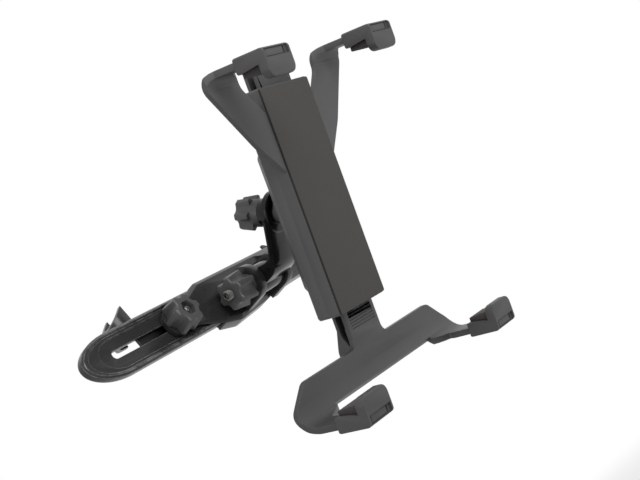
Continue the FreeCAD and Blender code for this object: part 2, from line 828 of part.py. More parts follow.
def lower_bracket():
    half = stem_width / 2
    web = stem_web / 2
    front_inner = stem_front - stem_front_plate
    back_inner = stem_back + stem_back_plate
    section = [
        (-half, stem_front), (half, stem_front), (half, front_inner), (web, front_inner),
        (web, back_inner), (half, back_inner), (half, stem_back), (-half, stem_back),
        (-half, back_inner), (-web, back_inner), (-web, front_inner), (-half, front_inner),
    ]
    tip = lower_tongue_v - claw_tongue_thickness / 2
    over = lower_tongue_v + claw_tongue_thickness / 2
    back = stem_front - crossbar_plate
    bend_v = over + lower_bend_round
    bend_w = stem_front + lower_bend_round
    stem = across_y(section, bend_v, stem_top_v)
    plan = [
        (-crossbar_half, tip), (crossbar_half, tip),
        (crossbar_half, crossbar_top_v - crossbar_shoulder_drop, bend_outer_round),
        (crossbar_shoulder_u, crossbar_top_v, bend_outer_round),
        (half, crossbar_top_v, stem_fillet), (half, kick_start_v), (-half, kick_start_v),
        (-half, crossbar_top_v, stem_fillet), (-crossbar_shoulder_u, crossbar_top_v, bend_outer_round),
        (-crossbar_half, crossbar_top_v - crossbar_shoulder_drop, bend_outer_round),
    ]
    bend = [
        (kick_start_v, stem_front),
        (over, stem_front, lower_bend_round),
        (over, claw_tongue_end),
        (tip, claw_tongue_end),
        (tip, back, lower_bend_round + claw_tongue_thickness),
        (kick_start_v, back),
    ]
    crossbar = across_x(bend, -crossbar_half, crossbar_half).common(prism(plan, back, claw_tongue_end))
    narrow = tongue_plan(lower_tongue_u, (crossbar_lip_u, crossbar_half), stem_front + lower_shoulder_rise,
                         back, 0, crossbar_half + run_gap)
    right = across_y(narrow, tip, kick_start_v)
    crossbar = crossbar.common(right.fuse(mirrored(right)))
    lip_turn = math.radians(crossbar_lip_turn)
    below_lip = 2 * lower_bend_round
    past_lip = across_x([
        (bend_v, bend_w),
        (bend_v - below_lip * math.tan(lip_turn), bend_w - below_lip),
        (bend_v - 2 * below_lip, bend_w - below_lip),
        (bend_v - 2 * below_lip, bend_w),
    ], -crossbar_lip_u, crossbar_lip_u)
    crossbar = crossbar.cut(past_lip)
    kick = across_x([
        (kick_start_v, stem_back),
        (crossbar_top_v, stem_back - kick_depth, bend_outer_round),
        (crossbar_top_v - kick_depth, stem_back - kick_depth, stem_back_plate / 2),
        (bend_v, back),
        (crossbar_top_v, back),
    ], -half, half)
    return stem.fuse([crossbar, kick]).cut(teeth()).removeSplitter()


def claw():
    """Claw round the middle of its tongue: y points away from the tablet, z to the front."""
    free = claw_half_height - lip_height
    profile = [
        (claw_half_height, claw_back, claw_edge_round),
        (claw_half_height, claw_reach, 2 * claw_edge_round),
        (free, claw_reach, claw_edge_round),
        (free, claw_reach - claw_lip, claw_edge_round),
        (claw_inner, claw_reach - claw_lip),
        (claw_inner - claw_back_drop, claw_back, claw_edge_round),
    ]
    half = claw_width / 2
    front = [
        (-half, free, lip_corner), (half, free, lip_corner),
        (half, claw_half_height, claw_edge_round), (-half, claw_half_height, claw_edge_round),
    ]
    body = across_x(profile, -half, half).common(prism(front, claw_back, claw_reach))
    room = claw_tongue_width / 2 + claw_tongue_gap
    height = claw_tongue_thickness / 2 + claw_tongue_gap
    body = body.cut(prism(rectangle(-room, room, -height, height), claw_back, claw_reach))
    window = window_width / 2
    rim = claw_half_height - window_rim
    return body.cut(prism(rectangle(-window, window, -rim, rim, window_rim),
                          claw_reach - window_depth, claw_reach)).removeSplitter()


def grip():
    """Rubber wedge on the claw's inner face, running up to the lip."""
    start = claw_back + claw_edge_round
    end = claw_reach - claw_lip
    root = claw_inner - claw_back_drop * (end - start) / (end - claw_back)
    face = claw_inner - grip_thickness
    profile = [
        (root, start),
        (face + grip_slope, start, claw_edge_round / 2),
        (face, end - grip_thickness, grip_thickness),
        (face, end),
        (claw_inner, end),
    ]
    return across_x(profile, -grip_width / 2, grip_width / 2)


def claw_place(side, tongue_u, tongue_v):
    """Upper claws hang down from their tongues; lower claws are the same piece turned over."""
    turn = 0 if tongue_v > 0 else 180
    return cradle_place.multiply(Place(Vec(side * tongue_u, tongue_v, 0), Turn(Vec(0, 0, 1), turn)))


def save(name, shape, place):
    piece = shape.copy()
    piece.Placement = place.multiply(piece.Placement)
    piece.exportStep("parts/" + name + ".step")
    print(name, "solids", len(piece.Solids), "valid", piece.isValid(), "volume", round(piece.Volume))


os.makedirs("parts", exist_ok=True)
for make in (post_base, slide_bar, clamp_bolt, clamp_plate, clamp_knob, clamp_nut,
             tilt_bolt, tilt_washer, tilt_knob, tilt_insert):
    save(make.__name__, make(), bar_place)
for make in (swing_arm, swivel_knob, swivel_screw):
    save(make.__name__, make(), arm_place)
save("ball_stud", ball_stud(), ball_place)
for make in (rear_shell, shell_screws, front_shell, foam_pad, detent_spring, lower_bracket):
    save(make.__name__, make(), cradle_place)
for level, tongue_u, tongue_v in (("upper", upper_tongue_u, upper_tongue_v),
                                  ("lower", lower_tongue_u, lower_tongue_v)):
    for side_name, side in (("left", -1), ("right", 1)):
        place = claw_place(side, tongue_u, tongue_v)
        save(level + "_" + side_name + "_clip", claw(), place)
        save(level + "_" + side_name + "_grip", grip(), place)
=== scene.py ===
# %% [markdown]
# # A tablet holder for the back of a car seat
# The holder hooks between the two posts of a headrest. A base and a slotted bar spread to fit the posts,
# an arm tilts on the base, and a cradle with four sliding claws sits on a ball at the head of the arm.
# The solids come from a CAD model and stay where they are. This lesson rounds their edges, adds small
# forms that are too fine for the solids, and gives every piece a finish.

# %% Load the solids
import json
import math
import bpy
from mathutils import Matrix, Vector

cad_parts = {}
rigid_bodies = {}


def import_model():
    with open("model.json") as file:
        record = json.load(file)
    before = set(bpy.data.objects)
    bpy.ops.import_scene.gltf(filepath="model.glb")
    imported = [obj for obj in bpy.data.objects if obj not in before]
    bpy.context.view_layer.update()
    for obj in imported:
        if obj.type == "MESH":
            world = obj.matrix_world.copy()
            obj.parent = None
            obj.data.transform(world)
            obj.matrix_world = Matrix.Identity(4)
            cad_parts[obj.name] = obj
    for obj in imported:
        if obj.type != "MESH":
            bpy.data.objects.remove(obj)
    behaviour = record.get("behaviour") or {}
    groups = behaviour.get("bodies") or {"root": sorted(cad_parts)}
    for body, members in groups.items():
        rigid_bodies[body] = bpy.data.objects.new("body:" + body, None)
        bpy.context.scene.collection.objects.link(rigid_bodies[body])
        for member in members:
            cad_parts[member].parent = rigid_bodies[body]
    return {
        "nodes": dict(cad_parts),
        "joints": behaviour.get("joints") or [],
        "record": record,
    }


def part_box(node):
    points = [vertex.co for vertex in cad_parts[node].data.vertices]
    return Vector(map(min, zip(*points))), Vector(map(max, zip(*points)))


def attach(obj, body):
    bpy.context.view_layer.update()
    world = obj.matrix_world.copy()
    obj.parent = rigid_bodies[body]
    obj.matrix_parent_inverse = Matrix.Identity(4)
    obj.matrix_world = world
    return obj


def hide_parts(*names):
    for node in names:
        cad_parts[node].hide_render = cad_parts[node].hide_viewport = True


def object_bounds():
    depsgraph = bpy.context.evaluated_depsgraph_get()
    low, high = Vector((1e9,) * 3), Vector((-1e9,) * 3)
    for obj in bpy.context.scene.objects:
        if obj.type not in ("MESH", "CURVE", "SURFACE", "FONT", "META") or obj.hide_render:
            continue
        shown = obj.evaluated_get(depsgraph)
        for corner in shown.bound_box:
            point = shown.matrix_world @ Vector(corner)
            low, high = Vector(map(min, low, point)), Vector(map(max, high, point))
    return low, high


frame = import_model()
cad_box = [list(corner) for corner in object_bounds()]
MM = 0.001

# %% [markdown]
# ## The cradle's own axes
# The cradle leans forward, so nothing on it lies along X, Y or Z. Its axes could be typed in, but then
# they would be wrong as soon as the lean changed. The joints already know them: the cradle spins about the
# direction that it faces, and the lower bracket slides down along it. The pad's size is read off its solid
# in the same three directions.

# %% Read the axes from the joints
joint_axis = {joint["name"]: Vector(joint["axis"]) for joint in frame["joints"]}
outward = joint_axis["cradle_turn"].normalized()
along = -joint_axis["lower_slide"].normalized()
across = along.cross(outward)
cradle_axes = Matrix((across, along, outward)).transposed().to_4x4()


def in_axes(node):
    """Corners of a solid, measured across, along and outward from the origin."""
    to_cradle = cradle_axes.inverted()
    return [to_cradle @ vertex.co for vertex in frame["nodes"][node].data.vertices]


def reach(corners, axis):
    """Lowest and highest place of some corners in one direction."""
    places = [corner[axis] for corner in corners]
    return min(places), max(places)


pad_corners = in_axes("foam_pad")
pad_reach = [reach(pad_corners, axis) for axis in range(3)]
pad_size = [high - low for low, high in pad_reach]
pad_front = Vector((sum(pad_reach[0]) / 2, sum(pad_reach[1]) / 2, pad_reach[2][1]))
cradle_frame = cradle_axes @ Matrix.Translation(pad_front)
print("cradle faces", [round(c, 3) for c in outward], "pad in mm", [round(s / MM, 1) for s in pad_size])

# %% [markdown]
# ## Camera
# The photograph looks at the cradle from its left side and a little from the front. The eye, the line of
# sight and the direction that is up in the picture were measured from the corners of the pad and the
# claws, in the cradle's own axes, so the view stays right wherever the cradle is.

# %% Set the camera
EYE = Vector((-714.02, 26.52, 459.9)) * MM
SIGHT = Vector((0.83062, -0.06357, -0.5532))
UP = Vector((0.24059, 0.93691, 0.25359))
LENS = 74.59
SENSOR_WIDTH = 36
CLIP_START = 0.01


def look(eye, sight, up):
    """Matrix of a camera or lamp at eye that looks along sight."""
    back = -sight.normalized()
    right = up.cross(back).normalized()
    matrix = Matrix((right, back.cross(right), back)).transposed().to_4x4()
    matrix.translation = eye
    return matrix


bpy.ops.object.camera_add()
camera = bpy.context.object
camera.data.sensor_fit = "HORIZONTAL"
camera.data.sensor_width = SENSOR_WIDTH
camera.data.lens = LENS
camera.data.clip_start = CLIP_START
camera.matrix_world = cradle_frame @ look(EYE, SIGHT, UP)
scene = bpy.context.scene
scene.camera = camera
print("camera at", [round(c, 3) for c in camera.matrix_world.translation])

# %% [markdown]
# ## Light
# The photograph is a catalogue picture: white all round and soft light from every side, with a little more
# from above and from the left. A white world does most of it. What the camera and the reflections see is
# white, and what lights the matt surfaces is weaker, so that black plastic keeps its depth. A few helpers
# that place shader nodes come first, because the light, the floor and every finish use them.


# %% Helpers for shader nodes
def feed(tree, socket, value):
    """Give a socket a plain value, or link it to another socket."""
    if isinstance(value, bpy.types.NodeSocket):
        tree.links.new(value, socket)
    else:
        socket.default_value = value


def arithmetic(tree, operation, first, second):
    """Output of a Math node."""
    node = tree.nodes.new("ShaderNodeMath")
    node.operation = operation
    feed(tree, node.inputs[0], first)
    feed(tree, node.inputs[1], second)
    return node.outputs[0]


def blend_shaders(tree, mask, first, second):
    """Output of a Mix Shader node."""
    node = tree.nodes.new("ShaderNodeMixShader")
    for socket, source in zip(node.inputs, (mask, first, second)):
        tree.links.new(source, socket)
    return node.outputs[0]


def white_where_seen(tree, plain, seen):
    """Join two shaders so that camera, glossy and transmitted rays meet the second one."""
    path = tree.nodes.new("ShaderNodeLightPath")
    ray = path.outputs["Is Camera Ray"]
    for kind in ("Is Glossy Ray", "Is Transmission Ray"):
        ray = arithmetic(tree, "MAXIMUM", ray, path.outputs[kind])
    return blend_shaders(tree, ray, plain, seen)


# %% White world
WORLD_LIGHT = 0.46
WHITE = (1, 1, 1, 1)
scene.view_settings.view_transform = "Standard"
world = bpy.data.worlds.new("white_studio")
scene.world = world
world.use_nodes = True
tree = world.node_tree
tree.nodes.clear()
ambient = tree.nodes.new("ShaderNodeBackground")
ambient.inputs["Strength"].default_value = WORLD_LIGHT
ambient.inputs["Color"].default_value = WHITE
backdrop = tree.nodes.new("ShaderNodeBackground")
backdrop.inputs["Color"].default_value = WHITE
world_out = tree.nodes.new("ShaderNodeOutputWorld")
tree.links.new(white_where_seen(tree, ambient.outputs[0], backdrop.outputs[0]), world_out.inputs[0])
print("world:", world.name)

# %% Lamps above and to the left
LAMP_UP = Vector((0.3, 1, 0.2))


def soft_lamp(name, offset, size, power):
    """Square lamp beside the cradle, facing it; the offset is in the cradle's axes, in metres."""
    bpy.ops.object.light_add(type="AREA")
    lamp = bpy.context.object
    lamp.name = name
    lamp.data.shape = "SQUARE"
    lamp.data.size = size
    lamp.data.energy = power
    lamp.matrix_world = cradle_frame @ look(offset, -offset, LAMP_UP)


soft_lamp("top_lamp", offset=Vector((-0.25, 0.55, 0.42)), size=0.5, power=5)
soft_lamp("left_lamp", offset=Vector((-1.4, 0.3, -0.3)), size=0.8, power=2.5)

# %% [markdown]
# ## Floor
# The holder hangs from its posts, so the floor lies below it and only catches a soft shadow. A pale floor
# would end in a visible line against the white. Here its paint turns into plain white light as it gets
# further from the middle, so that the shadow stays and the rim is gone.


# %% More helpers for shader nodes
def object_place(tree):
    """Object coordinates, which every pattern in this lesson reads."""
    return tree.nodes.new("ShaderNodeTexCoord").outputs["Object"]


def remap(tree, value, low, high, to_low=0.0, to_high=1.0, curve="LINEAR"):
    """Output of a Map Range node."""
    node = tree.nodes.new("ShaderNodeMapRange")
    node.interpolation_type = curve
    node.inputs["From Min"].default_value = low
    node.inputs["From Max"].default_value = high
    node.inputs["To Min"].default_value = to_low
    node.inputs["To Max"].default_value = to_high
    tree.links.new(value, node.inputs["Value"])
    return node.outputs["Result"]


# %% Lay the floor
FLOOR_DROP = 0.14
FLOOR_SIZE = 8
FLOOR_COLOUR = (0.86, 0.86, 0.86, 1)
SHADOW_REACH = 0.12
WHITE_FROM = 0.42
WHITE_IN_SHADOW = 0.5
floor_height = cad_box[0][2] - FLOOR_DROP
middle = [(cad_box[0][axis] + cad_box[1][axis]) / 2 for axis in range(2)]
bpy.ops.mesh.primitive_plane_add(size=FLOOR_SIZE, location=(*middle, floor_height))
floor = bpy.context.object
floor.name = "floor"
floor_paint = bpy.data.materials.new("pale_floor")
floor_paint.use_nodes = True
tree = floor_paint.node_tree
tree.nodes.clear()
paint = tree.nodes.new("ShaderNodeBsdfDiffuse")
paint.inputs["Color"].default_value = FLOOR_COLOUR
glow = tree.nodes.new("ShaderNodeEmission")
glow.inputs["Color"].default_value = WHITE
distance = tree.nodes.new("ShaderNodeVectorMath")
distance.operation = "LENGTH"
tree.links.new(object_place(tree), distance.inputs[0])
fade = remap(tree, distance.outputs["Value"], SHADOW_REACH, WHITE_FROM, WHITE_IN_SHADOW, curve="SMOOTHSTEP")
seen_floor = blend_shaders(tree, fade, paint.outputs[0], glow.outputs[0])
floor_out = tree.nodes.new("ShaderNodeOutputMaterial")
tree.links.new(white_where_seen(tree, paint.outputs[0], seen_floor), floor_out.inputs[0])
floor.data.materials.append(floor_paint)
print("floor at", round(floor_height, 3))

# %% [markdown]
# ## Shared effects
# Moulded plastic is never one flat colour. The mould's eroded steel leaves a fine grain, and handling
# polishes the edges and leaves faint cloudy marks on the faces. Each effect is a node group with its own
# input, built once and placed in every finish that needs it. The groups only give masks and heights, and
# the shader itself stays in each material. Wear belongs on edges, and so does a painted highlight: the
# edges are painted lighter both as rubbed plastic and as the bright line that light draws along them. So
# the pieces will carry an attribute called rim that is 1 on the faces of their rounded edges. Cycles could
# guess edges from the mesh with Pointiness, but on large flat faces it spreads from the corners over the
# whole face.

# %% Helpers for node groups
NOISE_ROUGH = 0.6


def new_group(name, count, default, outputs):
    """Node group with one number as its input; returns the group, that number and the group's end."""
    group = bpy.data.node_groups.new(name, "ShaderNodeTree")
    socket = group.interface.new_socket(count, in_out="INPUT", socket_type="NodeSocketFloat")
    socket.default_value = default
    for label in outputs:
        group.interface.new_socket(label, in_out="OUTPUT", socket_type="NodeSocketFloat")
    return group, group.nodes.new("NodeGroupInput").outputs[0], group.nodes.new("NodeGroupOutput")


def add_noise(tree, place, scale, detail):
    """Noise Texture node on some coordinates."""
    node = tree.nodes.new("ShaderNodeTexNoise")
    node.inputs["Detail"].default_value = detail
    node.inputs["Roughness"].default_value = NOISE_ROUGH
    tree.links.new(place, node.inputs["Vector"])
    feed(tree, node.inputs["Scale"], scale)
    return node


# %% Mould grain
FINE_PER_GRAIN = 1.7
grain, count, end = new_group("mould_grain", "Grains per metre", 2600.0, ["Height", "Mottle"])
place = object_place(grain)
pebbles = grain.nodes.new("ShaderNodeTexVoronoi")
grain.links.new(place, pebbles.inputs["Vector"])
grain.links.new(count, pebbles.inputs["Scale"])
fine = add_noise(grain, place, arithmetic(grain, "MULTIPLY", count, FINE_PER_GRAIN), detail=3)
height = arithmetic(grain, "ADD", pebbles.outputs["Distance"], fine.outputs["Fac"])
grain.links.new(height, end.inputs["Height"])
grain.links.new(remap(grain, fine.outputs["Fac"], low=0.3, high=0.7), end.inputs["Mottle"])
print(grain.name, len(grain.nodes), "nodes")

# %% Handling haze
SPECKS_PER_CLOUD = 34
haze, count, end = new_group("handling_haze", "Clouds per metre", 26.0, ["Cloud", "Speck"])
place = object_place(haze)
cloud = add_noise(haze, place, count, detail=4)
haze.links.new(remap(haze, cloud.outputs["Fac"], low=0.3, high=0.72), end.inputs["Cloud"])
specks = add_noise(haze, place, arithmetic(haze, "MULTIPLY", count, SPECKS_PER_CLOUD), detail=2)
haze.links.new(remap(haze, specks.outputs["Fac"], low=0.68, high=0.76), end.inputs["Speck"])
print(haze.name, len(haze.nodes), "nodes")

# %% Edge wear and painted highlight
rim_wear_and_highlight, count, end = new_group("edge_wear_and_highlight", "Breaks per metre", 240.0, ["Edge"])
rim = rim_wear_and_highlight.nodes.new("ShaderNodeAttribute")
rim.attribute_name = "rim"
breaks = add_noise(rim_wear_and_highlight, object_place(rim_wear_and_highlight), count, detail=3)
unbroken = remap(rim_wear_and_highlight, breaks.outputs["Fac"], low=0.3, high=0.6)
rim_wear_and_highlight.links.new(arithmetic(rim_wear_and_highlight, "MULTIPLY", rim.outputs["Fac"], unbroken), end.inputs["Edge"])
print(rim_wear_and_highlight.name, len(rim_wear_and_highlight.nodes), "nodes")

# %% [markdown]
# ## Finishes
# Three plastics can be told apart in the photograph. The cradle and its claws are matt with a fine grain,
# the base, the bar and the knobs are smoother and mirror the white room at a glancing angle, and the arm
# is polished black. Within the first, the lower bracket is less matt, and its colour is painted darker as
# painted shade for the bottom of the cradle. A finish is one function with a few values, so that the
# plastics stay related.


# %% Helpers for materials
def use_group(tree, group, value=None):
    """Place a node group, with its own value where one is given."""
    node = tree.nodes.new("ShaderNodeGroup")
    node.node_tree = group
    if value is not None:
        node.inputs[0].default_value = value
    return node


def blend_colours(tree, mask, first, second):
    """Output of a Mix node for two colours; a colour is three plain values or a socket."""
    node = tree.nodes.new("ShaderNodeMix")
    node.data_type = "RGBA"
    tree.links.new(mask, node.inputs["Factor"])
    for socket, colour in ((node.inputs[6], first), (node.inputs[7], second)):
        feed(tree, socket, (*colour, 1) if isinstance(colour, tuple) else colour)
    return node.outputs[2]


def shaded(colour, factor):
    """A colour made lighter or darker."""
    return tuple(c * factor for c in colour)


def start_material(name):
    """New material with its tree and its shader."""
    material = bpy.data.materials.new(name)
    material.use_nodes = True
    tree = material.node_tree
    return material, tree, tree.nodes["Principled BSDF"]


def add_bump(tree, shader, height, depth, strength):
    """Turn a height into the shader's normal; the depth is in metres."""
    bump = tree.nodes.new("ShaderNodeBump")
    bump.inputs["Strength"].default_value = strength
    bump.inputs["Distance"].default_value = depth
    tree.links.new(height, bump.inputs["Height"])
    tree.links.new(bump.outputs["Normal"], shader.inputs["Normal"])


# %% Moulded plastic
PLASTIC_IOR = 1.46
DARK_CLOUD, LIGHT_CLOUD = 0.97, 1.03
MOTTLE_SHADE, MOTTLE_SHARE = 1.14, 0.35
SPECK_SHARE = 0.2
# How far the rim faces move to the lighter colour, as rubbed wear and as a painted highlight
EDGE_WEAR_AND_HIGHLIGHT_SHARE, RUB_POLISH = 0.7, 0.1
CLEAN_DULLNESS, CLOUD_GLOSS = 0.025, 0.02


def moulded(name, colour, rubbed_and_highlight, rough, grains, depth, strength, mirror=0.5):
    """Plastic with mould grain, faint cloudy handling marks, specks and edges painted lighter, as wear and
    highlight.
    """
    material, tree, shader = start_material(name)
    texture = use_group(tree, grain, grains)
    marks = use_group(tree, haze).outputs
    cloud, speck = marks["Cloud"], marks["Speck"]
    edge = use_group(tree, rim_wear_and_highlight).outputs["Edge"]
    shade = blend_colours(tree, cloud, shaded(colour, DARK_CLOUD), shaded(colour, LIGHT_CLOUD))
    mottle = arithmetic(tree, "MULTIPLY", texture.outputs["Mottle"], MOTTLE_SHARE)
    shade = blend_colours(tree, mottle, shade, shaded(colour, MOTTLE_SHADE))
    shade = blend_colours(tree, arithmetic(tree, "MULTIPLY", speck, SPECK_SHARE), shade, rubbed_and_highlight)
    # Rim faces painted lighter: partly rubbed wear, partly a painted highlight along the edge
    shade = blend_colours(tree, arithmetic(tree, "MULTIPLY", edge, EDGE_WEAR_AND_HIGHLIGHT_SHARE), shade, rubbed_and_highlight)
    tree.links.new(shade, shader.inputs["Base Color"])
    gloss = remap(tree, cloud, 0, 1, rough + CLEAN_DULLNESS, rough - CLOUD_GLOSS)
    polished = arithmetic(tree, "MULTIPLY", edge, RUB_POLISH)
    tree.links.new(arithmetic(tree, "SUBTRACT", gloss, polished), shader.inputs["Roughness"])
    shader.inputs["IOR"].default_value = PLASTIC_IOR
    shader.inputs["Specular IOR Level"].default_value = mirror
    add_bump(tree, shader, texture.outputs["Height"], depth, strength)
    return material


# %% The plastics of this holder
# Each rubbed colour lightens the specks and the edges; on the edges it is also a painted highlight
finishes = {
    "cradle_plastic": moulded(
        "matt_grained_plastic", colour=(0.058, 0.056, 0.057), rubbed_and_highlight=(0.12, 0.117, 0.119),
        rough=0.54, grains=2600, depth=0.00006, strength=0.35),
    # A darker copy of the cradle's plastic: painted shade for the bottom of the cradle
    "shaded_bracket_plastic": moulded(
        "shaded_bracket_plastic", colour=(0.036, 0.0345, 0.0355), rubbed_and_highlight=(0.1, 0.097, 0.099),
        rough=0.42, grains=2600, depth=0.00005, strength=0.28),
    "clip_plastic": moulded(
        "claw_plastic", colour=(0.045, 0.043, 0.044), rubbed_and_highlight=(0.12, 0.117, 0.119),
        rough=0.52, grains=2600, depth=0.00005, strength=0.3),
    "base_plastic": moulded(
        "base_plastic", colour=(0.02, 0.019, 0.0195), rubbed_and_highlight=(0.15, 0.146, 0.148),
        rough=0.27, grains=2200, depth=0.00004, strength=0.16, mirror=0.42),
    "knob_plastic": moulded(
        "knob_plastic", colour=(0.06, 0.058, 0.0595), rubbed_and_highlight=(0.15, 0.147, 0.15),
        rough=0.42, grains=2200, depth=0.00005, strength=0.22),
    "arm_plastic": moulded(
        "polished_black_plastic", colour=(0.007, 0.0066, 0.007), rubbed_and_highlight=(0.16, 0.157, 0.158),
        rough=0.14, grains=1500, depth=0.00002, strength=0.06, mirror=0.28),
}
print("plastics:", sorted(finishes))

# %% [markdown]
# ## Rubber, foam and metal
# The grips in the claws are soft rubber with a warm tint and almost no gloss. The pad is a sheet of dense
# foam with a fine pressed grain, a little warmer than the plastic, and where it was cut its edge is
# darker. The screws and bolts are plated steel with fine turning marks, the ball and the clamp's plate are
# blackened steel, and the insert in the tilt knob is brass.

# %% Rubber and foam
SOFT_IOR = 1.4
SOFT_SHEEN = 0.06
WOBBLE, WOBBLES_PER_CELL = 0.4, 0.8
DUST_SHADE, DUST_SHARE = 1.15, 0.25
CLEAN_GLOSS, DUST_DULLNESS = 0.03, 0.04


def soft_matt(name, colour, cells, depth, strength, rough, relief_shading):
    """Matt material with a cell pattern pressed into it, with painted shade in its grooves and painted
    light on its tops; cells is their number per metre.
    """
    material, tree, shader = start_material(name)
    place = object_place(tree)
    cell = tree.nodes.new("ShaderNodeTexVoronoi")
    cell.feature = "SMOOTH_F1"
    cell.inputs["Scale"].default_value = cells
    wobble = add_noise(tree, place, cells * WOBBLES_PER_CELL, detail=2)
    shift = tree.nodes.new("ShaderNodeVectorMath")
    shift.operation = "MULTIPLY_ADD"
    tree.links.new(wobble.outputs["Color"], shift.inputs[0])
    shift.inputs[1].default_value = [WOBBLE / cells] * 3
    tree.links.new(place, shift.inputs[2])
    tree.links.new(shift.outputs[0], cell.inputs["Vector"])
    cloud = use_group(tree, haze).outputs["Cloud"]
    # Painted shade and highlight: the grooves between cells are darker and the cell tops lighter, following
    # the bump
    groove_shade = remap(tree, cell.outputs["Distance"], low=0.2, high=0.75)
    shade = blend_colours(tree, groove_shade, shaded(colour, 1 + relief_shading / 2), shaded(colour, 1 - relief_shading))
    dust = arithmetic(tree, "MULTIPLY", cloud, DUST_SHARE)
    shade = blend_colours(tree, dust, shade, shaded(colour, DUST_SHADE))
    tree.links.new(shade, shader.inputs["Base Color"])
    film = remap(tree, cloud, 0, 1, rough - CLEAN_GLOSS, rough + DUST_DULLNESS)
    tree.links.new(film, shader.inputs["Roughness"])
    shader.inputs["IOR"].default_value = SOFT_IOR
    shader.inputs["Sheen Weight"].default_value = SOFT_SHEEN
    pillow = remap(tree, cell.outputs["Distance"], low=0, high=0.8, to_low=1, to_high=0)
    add_bump(tree, shader, pillow, depth, strength)
    return material


# relief_shading sets how much painted shade the grooves get and how much painted light the cell tops get
finishes["pad_foam"] = soft_matt(
    "pressed_foam", colour=(0.043, 0.041, 0.0383), cells=1300,
    depth=0.00015, strength=0.3, rough=0.82, relief_shading=0.12)
finishes["pad_edge"] = soft_matt(
    "cut_foam", colour=(0.016, 0.015, 0.014), cells=1700,
    depth=0.0003, strength=0.6, rough=0.9, relief_shading=0.3)
finishes["grip_rubber"] = soft_matt(
    "grip_rubber", colour=(0.043, 0.037, 0.0365), cells=1800,
    depth=0.00012, strength=0.3, rough=0.78, relief_shading=0.15)
print("finishes so far:", len(finishes))

# %% Metals
SCRATCHES_PER_METRE = (9000, 1200, 1200)
SCRATCH_DEPTH, SCRATCH_STRENGTH = 0.00002, 0.2
SCRATCH_LOW, SCRATCH_HIGH = 0.3, 0.7
SCRATCH_GLOSS, SCRATCH_DULLNESS = 0.08, 0.1
FILM_CLOUDS, FILM_SHADE = 60, 0.8


def turned_metal(name, colour, rough):
    """Plated metal with a little dull film and fine scratches round X, the axis of the tilt bolt."""
    material, tree, shader = start_material(name)
    stretch = tree.nodes.new("ShaderNodeMapping")
    stretch.inputs["Scale"].default_value = SCRATCHES_PER_METRE
    tree.links.new(object_place(tree), stretch.inputs["Vector"])
    scratches = add_noise(tree, stretch.outputs[0], 1.0, detail=4).outputs["Fac"]
    film = use_group(tree, haze, FILM_CLOUDS).outputs["Cloud"]
    shade = blend_colours(tree, film, shaded(colour, FILM_SHADE), colour)
    tree.links.new(shade, shader.inputs["Base Color"])
    shader.inputs["Metallic"].default_value = 1
    dullest = rough + SCRATCH_DULLNESS
    streaks = remap(tree, scratches, SCRATCH_LOW, SCRATCH_HIGH, rough - SCRATCH_GLOSS, dullest)
    tree.links.new(streaks, shader.inputs["Roughness"])
    add_bump(tree, shader, scratches, SCRATCH_DEPTH, SCRATCH_STRENGTH)
    return material


finishes["steel"] = turned_metal("plated_steel", colour=(0.21, 0.208, 0.2), rough=0.38)
finishes["ball_metal"] = turned_metal("blackened_steel", colour=(0.05, 0.05, 0.05), rough=0.36)
finishes["brass"] = turned_metal("turned_brass", colour=(0.6, 0.45, 0.2), rough=0.35)
print("finishes:", sorted(finishes))

# %% [markdown]
# ## Rounded edges
# No moulded edge is sharp, and it is the thin bright line along each edge that makes plastic look real.
# The solids have sharp edges because roundings would make them heavy. A copy of each one is merged, its
# flat triangles are joined into whole faces, and a Bevel modifier rounds every edge that turns by more
# than a limit. Where edges lie very close together, the modifier narrows the rounding of the whole piece,
# and on the arm that leaves almost none. The modifier gives its new faces the second material slot, which
# is how they are found afterwards and marked as rim. The copy takes the place of the solid and rides on
# the same body.

# %% Finish and body of each piece
record = frame["record"]
slot_of = {piece["node"]: piece["material_slot"] for piece in record["subparts"]}
body_of = {node: body for body, nodes in record["behaviour"]["bodies"].items() for node in nodes}
# The lower bracket takes the darker copy of the cradle's plastic, as painted shade
finish_of = {**slot_of, "lower_bracket": "shaded_bracket_plastic"}


def only(piece):
    """Select one object and nothing else."""
    bpy.ops.object.select_all(action="DESELECT")
    piece.select_set(True)
    bpy.context.view_layer.objects.active = piece


def settle(piece, node):
    """Give a finished piece its finish and its body, and let it stand for its solid."""
    piece.data.materials.clear()
    piece.data.materials.append(finishes[finish_of[node]])
    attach(piece, body_of[node])
    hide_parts(node)


print("nodes with a slot:", len(slot_of), "with a body:", len(body_of))

# %% Merge and round a copy
MERGE_WITHIN = 0.002 * MM
FLAT_WITHIN = math.radians(0.4)
ROUND_FROM = math.radians(32)
ROUND_STEPS = 3
RIM_SLOT = 1
SMOOTH_BELOW = math.radians(34)


def merged_copy(node):
    """Copy of a solid with its triangles merged and joined into whole flat faces."""
    piece = bpy.data.objects.new(node + "_rounded", frame["nodes"][node].data.copy())
    scene.collection.objects.link(piece)
    only(piece)
    bpy.ops.object.mode_set(mode="EDIT")
    bpy.ops.mesh.select_all(action="SELECT")
    bpy.ops.mesh.remove_doubles(threshold=MERGE_WITHIN)
    bpy.ops.mesh.dissolve_limited(angle_limit=FLAT_WITHIN)
    bpy.ops.mesh.select_all(action="DESELECT")
    bpy.ops.object.mode_set(mode="OBJECT")
    return piece


